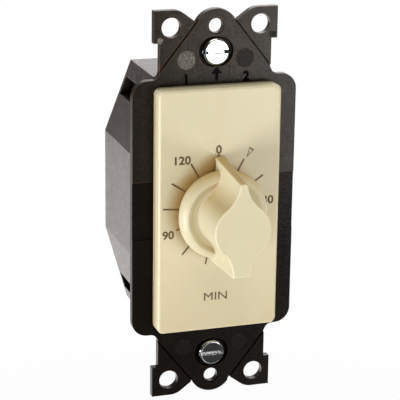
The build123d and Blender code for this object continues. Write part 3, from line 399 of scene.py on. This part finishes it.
def block(built, low, high):
    """Adds a box between two corners, in metres."""
    verts = [built.verts.new((x, y, z)) for z in (low[2], high[2]) for x, y in
             ((low[0], low[1]), (high[0], low[1]), (high[0], high[1]), (low[0], high[1]))]
    for face in ((0, 1, 2, 3), (4, 5, 6, 7), (0, 1, 5, 4), (1, 2, 6, 5), (2, 3, 7, 6), (3, 0, 4, 7)):
        built.faces.new([verts[i] for i in face])


def turned(x, z, angle):
    """Point turned clockwise about the knob's axis, as seen from the front."""
    turn = radians(angle)
    return (x * cos(turn) + z * sin(turn), z * cos(turn) - x * sin(turn))


# Dial printing: its two levels, and how far it stands off the knob's axis
ink_back = plate_front - 0.005 * mm
ink_front = plate_front + 0.02 * mm
print_shift = Vector((-0.4, 0.4)) * mm
# Ticks: number, degrees between two of them, line width, distances from the axis, and the short ones
tick_count = 13
tick_step = 27.5
tick_width = 0.42 * mm
tick_start = 10.7 * mm
tick_end = 15.1 * mm
short_tick_end = 12.3 * mm
short_ticks = (3, 9)


def dial_ticks(built):
    """Tick lines round the knob, clockwise from the top."""
    for number in range(tick_count):
        outer = short_tick_end if number in short_ticks else tick_end
        corners = ((-tick_width / 2, tick_start), (tick_width / 2, tick_start),
                   (tick_width / 2, outer), (-tick_width / 2, outer))
        places = [Vector(turned(x, z, tick_step * number)) + print_shift for x, z in corners]
        slab(built, places, ink_back, ink_front)


piece("dial_ticks", dial_ticks, ink, "switch_frame")


def lettering(name, words, centre, height, level, depth, material, weight=0.0, width=1.0):
    """Raised or printed lettering that faces the front, centred on an (x, z) place in metres."""
    font = bpy.data.curves.new(name, "FONT")
    font.body = words
    font.size = 1.0
    font.align_x = "CENTER"
    font.align_y = "CENTER"
    font.resolution_u = 4
    font.offset = weight
    shown = bpy.data.objects.new(name, font)
    scene.collection.objects.link(shown)
    bpy.context.view_layer.update()
    flat = bpy.data.meshes.new_from_object(shown)
    bpy.data.objects.remove(shown)
    xs = [v.co.x for v in flat.vertices]
    ys = [v.co.y for v in flat.vertices]
    scale = height / (max(ys) - min(ys))
    middle = Vector(((max(xs) + min(xs)) / 2, (max(ys) + min(ys)) / 2, 0))
    for vertex in flat.vertices:
        local = (vertex.co - middle) * scale
        vertex.co = (centre[0] + local.x * width, -level, centre[1] + local.y)
    built = bmesh.new()
    built.from_mesh(flat)
    bmesh.ops.remove_doubles(built, verts=built.verts, dist=0.001 * mm)
    grown = bmesh.ops.extrude_face_region(built, geom=list(built.faces))
    raised = [part for part in grown["geom"] if isinstance(part, bmesh.types.BMVert)]
    bmesh.ops.translate(built, verts=raised, vec=(0, -depth, 0))
    add_piece(name, built, material, "switch_frame")


digit_height = 2.3 * mm
unit_height = 2.2 * mm
print_depth = ink_front - ink_back
numbers = {"0": (0, 16.4), "30": (13.9, 1.7), "60": (4.4, -15.2), "90": (-13.6, -5.9), "120": (-9.8, 14.1)}
for words, (x, z) in numbers.items():
    lettering("dial_" + words, words, Vector((x, z)) * mm + print_shift, digit_height, ink_back, print_depth,
              ink, weight=0.022, width=1.06)
lettering("dial_unit", "MIN", Vector((-0.3, -24.0)) * mm + print_shift, unit_height, ink_back, print_depth,
          ink, width=1.2)

# Size of the dial triangle's opening as a share of its outline
triangle_opening = 0.62


def open_triangle(built):
    """Outline of a slim triangle that points down to the left."""
    outer = [Vector((7.6, 13.7)), Vector((9.7, 15.7)), Vector((8.5, 16.5))]
    middle = sum(outer, Vector((0, 0))) / 3
    inner = [middle + (corner - middle) * triangle_opening for corner in outer]
    for i in range(3):
        side = [outer[i], outer[(i + 1) % 3], inner[(i + 1) % 3], inner[i]]
        slab(built, [p * mm + print_shift for p in side], ink_back, ink_front)


piece("dial_triangle", open_triangle, ink, "switch_frame")


def dial_light_streak(built):
    """Faint pale streak to the upper left of the dial's zero: a painted highlight."""
    outline = ((-5.8, 18.3), (-3.4, 17.05), (-1.15, 15.75), (-1.35, 15.4), (-3.6, 16.85))
    slab(built, [Vector(corner) * mm + print_shift for corner in outline], ink_back, plate_front + 0.01 * mm)


piece("dial_light_streak", dial_light_streak, moulded("light_streak_ivory", tone(233, 228, 204), tone(227, 220, 192)),
      "switch_frame")

# Beads have six-sided sections
bead_sides = 6
rim_radius = 0.17 * mm


def bead_section(built, centre, radius, outward, lengthwise):
    """Adds the corners of a bead's section about its centre, between two directions at right angles."""
    angles = [2 * pi * k / bead_sides for k in range(bead_sides)]
    return [built.verts.new(centre + radius * (outward * cos(angle) + lengthwise * sin(angle)))
            for angle in angles]


def close_bead(built, sections):
    """Joins sections into a bead that closes on itself."""
    for i in range(len(sections)):
        for k in range(bead_sides):
            built.faces.new((sections[i - 1][k - 1], sections[i - 1][k], sections[i][k], sections[i][k - 1]))


def handle_rim(built):
    """Fine near-white bead along the edge of the handle's front face, a painted highlight, followed from the
    knob's own outline.
    """
    knob = nodes["knob"].data
    front = min(vertex.co.y for vertex in knob.vertices)
    flat = {vertex.index for vertex in knob.vertices if vertex.co.y < front + same_level}
    uses = {}
    for face in knob.polygons:
        if all(index in flat for index in face.vertices):
            for edge in face.edge_keys:
                uses[edge] = uses.get(edge, 0) + 1
    follows = {}
    for first, second in (edge for edge, count in uses.items() if count == 1):
        follows.setdefault(first, []).append(second)
        follows.setdefault(second, []).append(first)
    start = min(follows)
    loop = [start, follows[start][0]]
    while len(loop) < len(follows):
        loop.append(next(index for index in follows[loop[-1]] if index != loop[-2]))
    corners = [knob.vertices[index].co for index in loop]
    rearward = Vector((0, 1, 0))
    sections = []
    for i in range(len(corners)):
        along = (corners[(i + 1) % len(corners)] - corners[i - 1]).normalized()
        sections.append(bead_section(built, corners[i], rim_radius, along.cross(rearward), rearward))
    close_bead(built, sections)


piece("handle_rim", handle_rim, rim_highlight_ivory, "dial")

# Raised marks on the strap: plain numerals over the two terminals and an arrow that points up
mark_level = strap_front - 0.02 * mm
mark_depth = 0.16 * mm
mark_height = 2.5 * mm
mark_z = 34.9 * mm
for words, x in (("1", -8.0), ("2", 8.4)):
    lettering("strap_mark_" + words, words, (x * mm, mark_z), mark_height, mark_level, mark_depth,
              letter_and_shade_black, weight=0.03)


def up_arrow(built):
    """Raised arrow between the two numerals."""
    outline = ((-0.4, 34.2), (0.4, 34.2), (0.4, 35.9), (1.5, 35.9), (0.0, 37.6), (-1.5, 35.9), (-0.4, 35.9))
    slab(built, [((x + 0.3) * mm, z * mm) for x, z in outline], mark_level, mark_level + mark_depth)


piece("strap_arrow", up_arrow, letter_and_shade_black, "switch_frame")


def disc(built, x, z, radius, back, front, sides=40, inner=0.0):
    """Adds a flat disc, or a ring, that faces the front, with places and sizes in metres."""
    if inner:
        rings = [[built.verts.new((x + r * cos(2 * pi * i / sides), -level, z + r * sin(2 * pi * i / sides)))
                  for i in range(sides)]
                 for r, level in ((radius, back), (radius, front), (inner, front), (inner, back))]
        for first, second in zip(rings, rings[1:] + rings[:1]):
            for i in range(sides):
                built.faces.new((first[i - 1], first[i], second[i], second[i - 1]))
    else:
        slab(built, [(x + radius * cos(2 * pi * i / sides), z + radius * sin(2 * pi * i / sides))
                     for i in range(sides)], back, front)


# Ejector pin marks beside the screws: places, radius and levels; the upper left one is paler than the others
pin_x, pin_z = 7.9 * mm, 39.7 * mm
pin_radius = 2.46 * mm
pin_floor = strap_front - 0.2 * mm
pin_back, pin_front = pin_floor - 0.02 * mm, pin_floor + 0.05 * mm
for name, x, z, look in (("pin_mark_1", -pin_x, pin_z, pale_mark), ("pin_mark_2", pin_x, pin_z, pin_mark),
                         ("pin_mark_3", -pin_x, -pin_z, smooth), ("pin_mark_4", pin_x, -pin_z, smooth)):
    piece(name, lambda built, x=x, z=z: disc(built, x, z, pin_radius, pin_back, pin_front), look,
          "switch_frame")

small_mark_x, small_mark_z = -15.1 * mm, 45.15 * mm
small_mark_radius = 0.85 * mm


def small_marks(built):
    """Small pin mark near the root of the upper left ear."""
    disc(built, small_mark_x, small_mark_z, small_mark_radius, mark_level, strap_front + 0.06 * mm,
         sides=24)


piece("small_marks", small_marks, pale_mark, "switch_frame")

# Ring on the left wing: its place, radii and levels
ring_x, ring_z = -19.4 * mm, -11.6 * mm
ring_outer, ring_inner = 2.1 * mm, 1.75 * mm
ring_back, ring_front = strap_front - 0.3 * mm, strap_front - 0.13 * mm


def wing_ring(built):
    """Plain raised ring on the left wing."""
    disc(built, ring_x, ring_z, ring_outer, ring_back, ring_front, inner=ring_inner)


# Ridges on the right wing: rows and their height, then in millimetres the lower edge of the first row, the
# step down to the next, half a ridge's length and the middle of each column
ridge_rows = 10
ridge_height = 0.75 * mm
ridge_start = -9.2
ridge_step = 1.45
ridge_half = 0.5
ridge_columns = (18.6, 20.3)


def wing_ridges(built):
    """Two columns of short raised ridges low on the right wing."""
    for row in range(ridge_rows):
        for column in ridge_columns:
            left, right = (column - ridge_half) * mm, (column + ridge_half) * mm
            low = (ridge_start - ridge_step * row) * mm
            high = low + ridge_height
            slab(built, [(left, low), (right, low), (right, high), (left, high)], mark_level,
                 strap_front + 0.12 * mm)


def ear_block(built):
    """Small raised block at the root of the upper right ear."""
    slab(built, [(x * mm, z * mm) for x, z in ((14.6, 44.9), (16.3, 44.9), (16.3, 46.2), (14.6, 46.2))],
         mark_level, strap_front + 0.1 * mm)


piece("wing_ring", wing_ring, smooth, "switch_frame")
piece("wing_ridges", wing_ridges, smooth, "switch_frame")
piece("ear_block", ear_block, smooth, "switch_frame")

# Painted shade of rebates along the housing's sides, just behind the strap: inner face, depths and ends
rebate_inner = 20.9 * mm
rebate_start, rebate_end = 4.5 * mm, 5.1 * mm
rebate_bottom, rebate_top = -12.5 * mm, 13.0 * mm
rebate_proud = 0.03 * mm


def side_rebate_shade(built):
    """Black strips that paint the shade of rebates; they stand a hair proud of the housing's sides."""
    for side in (-1, 1):
        block(built, (side * rebate_inner, rebate_start, rebate_bottom),
              (side * (housing_high[0] + rebate_proud), rebate_end, rebate_top))


piece("side_rebate_shade", side_rebate_shade, letter_and_shade_black, "switch_frame")

# Rear panel: its level, how far its marks stand out and reach in, and the size of its line frame
rear = housing_high[1]
relief = 0.12 * mm
sunk = 0.03 * mm
frame_width, frame_height, line_width = 31.0 * mm, 21.0 * mm, 0.5 * mm
# Its pin marks: places, radius and how far they stand out
rear_pin_x, rear_pin_z = 18.2 * mm, 8.0 * mm
rear_pin_radius = 1.6 * mm
rear_pin_relief = 0.05 * mm
# Its ridges: number on each side, middle, half length and height, and in millimetres their start and step
bar_count = 5
bar_x = 8.5 * mm
bar_half = 3.5 * mm
bar_height = 0.8 * mm
bar_start = 5.2
bar_step = 2.4


def rear_frame(built):
    """Raised rectangular line round the middle of the rear panel."""
    x, z, half_line = frame_width / 2, frame_height / 2, line_width / 2
    for side in (-1, 1):
        block(built, (-x, rear - sunk, side * z - half_line), (x, rear + relief, side * z + half_line))
        block(built, (side * x - half_line, rear - sunk, half_line - z),
              (side * x + half_line, rear + relief, z - half_line))


def rear_pin_marks(built):
    """Flat round marks that the ejector pins leave on the rear panel."""
    for x in (-rear_pin_x, rear_pin_x):
        for z in (-rear_pin_z, rear_pin_z):
            disc(built, x, z, rear_pin_radius, -rear - rear_pin_relief, sunk - rear, sides=32)


def rear_arrow(built):
    """Plain arrow on the rear panel that points up."""
    outline = ((-0.6, -4.5), (0.6, -4.5), (0.6, 1.6), (2.1, 1.6), (0.0, 4.6), (-2.1, 1.6), (-0.6, 1.6))
    slab(built, [(x * mm, z * mm) for x, z in outline], -rear - relief, sunk - rear)


def rear_ridges(built):
    """Short parallel ridges on both sides of the arrow."""
    for side in (-1, 1):
        for row in range(bar_count):
            z = (row * bar_step - bar_start) * mm
            block(built, (side * bar_x - bar_half, rear - sunk, z),
                  (side * bar_x + bar_half, rear + relief, z + bar_height))


piece("rear_frame", rear_frame, housing_finish, "switch_frame")
piece("rear_pin_marks", rear_pin_marks, pin_mark, "switch_frame")
piece("rear_arrow", rear_arrow, letter_and_shade_black, "switch_frame")
piece("rear_ridges", rear_ridges, letter_and_shade_black, "switch_frame")

# Rolled edge of the screw heads, pale to paint their highlight: steps round it, how far its middle stands
# behind the front face, its mean radius and how much that changes, both in millimetres, and the turn at which
# it is thinnest
roll_steps = 56
roll_setback = 0.03 * mm
roll_mean = 0.045
roll_change = 0.03
roll_lean = 0.3


def screw_rim_highlights(built):
    """Fine rolled edge round the heads of the box screws, thicker on the left: a painted highlight in a pale
    matt finish.

    It is followed from the screws' own front faces.
    """
    screws = nodes["box_screws"].data
    front = min(vertex.co.y for vertex in screws.vertices)
    for side in (-1, 1):
        face = [vertex.co for vertex in screws.vertices
                if vertex.co.y < front + same_level and vertex.co.z * side > 0]
        centre_z = (min(p.z for p in face) + max(p.z for p in face)) / 2
        radius = max(Vector((p.x, p.z - centre_z)).length for p in face)
        sections = []
        for i in range(roll_steps):
            turn_angle = 2 * pi * i / roll_steps
            out = Vector((cos(turn_angle), 0, sin(turn_angle)))
            middle = Vector((0, front + roll_setback, centre_z)) + out * radius
            bead = (roll_mean - roll_change * cos(turn_angle - roll_lean)) * mm
            sections.append(bead_section(built, middle, bead, out, Vector((0, -1, 0))))
        close_bead(built, sections)


burr_teeth = 11


def slot_burr(built):
    """Ragged burr that a driver has left in the lower screw's slot, whose pale matt finish paints a glint."""
    for i in range(burr_teeth):
        x = (-2.6 + 0.5 * i) * mm
        z = -screw_height + (0.12 if i % 2 else -0.14) * mm
        slab(built, [(x - 0.2 * mm, z - 0.2 * mm), (x + 0.22 * mm, z - 0.12 * mm),
                     (x + 0.16 * mm, z + 0.2 * mm), (x - 0.18 * mm, z + 0.14 * mm)],
             screw_front - 1.2 * mm, screw_front - 0.3 * mm)


def slot_end_shade(built):
    """Near-black pieces at both ends of the upper screw's slot: painted shade."""
    for side in (-1, 1):
        outline = [(side * x * mm, screw_height + z * mm)
                   for x, z in ((2.35, -0.42), (3.5, -0.42), (3.5, 0.42), (2.6, 0.42), (2.2, 0.1))]
        slab(built, outline, screw_front - 1.0 * mm, screw_front - 0.12 * mm)


piece("slot_end_shade", slot_end_shade, letter_and_shade_black, "switch_frame")
# Pale and matt, to paint bright highlights; not a metal
painted_glint = moulded("painted_glint", tone(236, 240, 246), tone(196, 203, 212))
piece("screw_rim_highlights", screw_rim_highlights, painted_glint, "switch_frame")
piece("slot_burr", slot_burr, painted_glint, "switch_frame")


def box_threads(built):
    """Threads of the box screws, wound from the thread's start to just before the tip."""
    start, end = 1.3 * mm, screws_high[1] - 0.3 * mm
    pitch, root, crest, steps = 0.8 * mm, 1.74 * mm, 1.93 * mm, 20
    count = int((end - start) / pitch * steps)
    for z in (-screw_height, screw_height):
        previous = None
        for i in range(count + 1):
            turn_angle = 2 * pi * i / steps
            depth = start + pitch * i / steps
            fade = min(1.0, i / steps, (count - i) / steps)
            lip = root + (crest - root) * fade
            section = [built.verts.new((r * cos(turn_angle), depth + shift * pitch, z + r * sin(turn_angle)))
                       for r, shift in ((root, -0.36), (lip, 0.0), (root, 0.36))]
            if previous:
                for j in range(3):
                    built.faces.new((previous[j - 1], previous[j], section[j], section[j - 1]))
            previous = section


piece("box_screw_threads", box_threads, finishes["zinc_steel"], "switch_frame")

# Camera at the photograph's angle, height and framing
camera_place = Vector((-134.1, -397.3, 130.0)) * mm
camera_right = Vector((0.9509, -0.3092, 0.0130))
camera_up = Vector((0.0791, 0.2835, 0.9557))
focal_pixels = 1649.0
frame_pixels = 400
sensor_width = 36.0
camera_data = bpy.data.cameras.new("camera")
camera_data.type = "PERSP"
camera_data.sensor_width = sensor_width
camera_data.lens = sensor_width * focal_pixels / frame_pixels
camera_data.clip_start = 0.01
camera_data.clip_end = 20
camera = bpy.data.objects.new("camera", camera_data)
right = camera_right.normalized()
forward = camera_up.cross(right).normalized()
up = right.cross(forward).normalized()
turn = Matrix((right, up, -forward)).transposed()
camera.matrix_world = Matrix.Translation(camera_place) @ turn.to_4x4()
scene.collection.objects.link(camera)
scene.camera = camera

# Pale floor below the part: its drop and half width, how far its occlusion looks, its strength in
# reflections before the part and behind it, and where and over what width that changes
floor_drop = 60 * mm
floor_half = 0.55
floor_reach = 0.2
floor_dim = 0.04
floor_shine = 2.0
floor_change = 0.06
floor_change_width = 0.12


def floor_material():
    """Pale floor. The camera sees it glow white, with a painted shadow from ambient occlusion in place of a
    cast shadow.

    Reflections see it nearly dark in front of the part and above white behind it.
    """
    look = Shader("pale_floor")
    look.base(base_color=look.ramp(look.noise(8), (0.3, (0.86, 0.86, 0.86, 1)), (0.7, (0.9, 0.9, 0.9, 1))),
              roughness=0.9)
    tree = look.tree
    sheltered = look.add("ShaderNodeAmbientOcclusion", distance=floor_reach, samples=8).outputs["AO"]
    glow = look.add("ShaderNodeEmission", color=(1, 1, 1, 1),
                    strength=look.spread(sheltered, 0.5, 1.0, 0.4, 0.97))
    behind = smooth_step(look, "Y", floor_change, floor_change_width)
    shine = look.add("ShaderNodeEmission", color=(1.0, 0.96, 0.95, 1),
                     strength=look.spread(behind, floor_dim, floor_shine))
    path = look.add("ShaderNodeLightPath")
    for ray, lit in (("Is Glossy Ray", shine), ("Is Camera Ray", glow)):
        blend = tree.nodes.new("ShaderNodeMixShader")
        tree.links.new(path.outputs[ray], blend.inputs[0])
        tree.links.new(tree.nodes["Material Output"].inputs["Surface"].links[0].from_socket, blend.inputs[1])
        tree.links.new(lit.outputs["Emission"], blend.inputs[2])
        tree.links.new(blend.outputs["Shader"], tree.nodes["Material Output"].inputs["Surface"])
    return look.material


floor_mesh = bpy.data.meshes.new("floor")
floor_z = strap_low[2] - floor_drop
floor_mesh.from_pydata([(-floor_half, -floor_half, floor_z), (floor_half, -floor_half, floor_z),
                        (floor_half, floor_half, floor_z), (-floor_half, floor_half, floor_z)], [],
                       [(0, 1, 2, 3)])
floor_mesh.materials.append(floor_material())
floor = bpy.data.objects.new("floor", floor_mesh)
scene.collection.objects.link(floor)
# Two lamps stand below the floor and light the part through it
floor.visible_shadow = False

# White surroundings for the camera alone. The part is lit by, and mirrors, an uneven light: brightest behind,
# above and to the right, and faint and yellow in front
world = bpy.data.worlds.new("studio")
scene.world = world
world.use_nodes = True
sky = world.node_tree
direction = sky.nodes.new("ShaderNodeTexCoord").outputs["Generated"]
axes = sky.nodes.new("ShaderNodeSeparateXYZ")
sky.links.new(direction, axes.inputs["Vector"])


def sky_range(source, low, high, start, end):
    """Maps a direction's share from start..end onto low..high, smoothly."""
    made = sky.nodes.new("ShaderNodeMapRange")
    made.interpolation_type = "SMOOTHSTEP"
    sky.links.new(source, made.inputs["Value"])
    for name, value in (("From Min", start), ("From Max", end), ("To Min", low), ("To Max", high)):
        made.inputs[name].default_value = value
    return made.outputs["Result"]


def sky_product(first, second):
    """Product of two values."""
    made = sky.nodes.new("ShaderNodeMath")
    made.operation = "MULTIPLY"
    sky.links.new(first, made.inputs[0])
    sky.links.new(second, made.inputs[1])
    return made.outputs["Value"]


depth_light = sky_range(axes.outputs["Y"], 0.17, 1.25, -0.2, 0.6)
height_light = sky_range(axes.outputs["Z"], 0.3, 1.0, -0.05, 0.2)
side_light = sky_range(axes.outputs["X"], 0.25, 1.0, -0.22, 0.12)
sky_strength = sky_product(sky_product(depth_light, height_light), side_light)
sky_light = sky.nodes["Background"]
front_colour = (1.0, 0.78, 0.45, 1)
back_colour = (1.0, 0.955, 0.945, 1)
warm_front = sky.nodes.new("ShaderNodeMix")
warm_front.data_type = "RGBA"
for name, value in (("A_Color", front_colour), ("B_Color", back_colour)):
    next(s for s in warm_front.inputs if s.identifier == name).default_value = value
sky.links.new(sky_range(axes.outputs["Y"], 0.0, 1.0, -0.5, 0.1), warm_front.inputs[0])
sky_colour = next(s for s in warm_front.outputs if s.identifier == "Result_Color")
sky.links.new(sky_colour, sky_light.inputs["Color"])
sky.links.new(sky_strength, sky_light.inputs["Strength"])
seen = sky.nodes.new("ShaderNodeBackground")
seen.inputs["Color"].default_value = (1, 1, 1, 1)
seen.inputs["Strength"].default_value = 1.0
sky_path = sky.nodes.new("ShaderNodeLightPath")
sky_mix = sky.nodes.new("ShaderNodeMixShader")
sky.links.new(sky_path.outputs["Is Camera Ray"], sky_mix.inputs[0])
sky.links.new(sky_light.outputs["Background"], sky_mix.inputs[1])
sky.links.new(seen.outputs["Background"], sky_mix.inputs[2])
sky.links.new(sky_mix.outputs["Shader"], sky.nodes["World Output"].inputs["Surface"])


def soft_light(name, place, power, width, height, colour=(1, 1, 1)):
    """Area light aimed at the part, with places and sizes in metres, that the camera doesn't see."""
    data = bpy.data.lights.new(name, "AREA")
    data.shape = "RECTANGLE"
    data.energy = power
    data.size = width
    data.size_y = height
    data.color = colour
    made = bpy.data.objects.new(name, data)
    made.location = place
    made.rotation_euler = (-Vector(place)).to_track_quat("-Z", "Y").to_euler()
    made.visible_camera = False
    scene.collection.objects.link(made)


soft_light("front_box", (0.45, -0.91, -0.15), 1.7, 0.34, 0.2)
soft_light("high_fill", (0.1, -1.0, 0.65), 0.8, 0.6, 0.4)
soft_light("crown_light", (-0.05, -0.4, 1.0), 3.8, 0.8, 0.45, (1.0, 0.94, 0.84))
soft_light("right_key", (0.85, -0.75, -0.45), 3.7, 0.35, 0.35)
soft_light("top_box", (0.35, 1.0, 0.45), 1.5, 0.6, 0.35)
soft_light("left_box", (-1.1, -0.45, -0.4), 17.0, 0.8, 0.7)
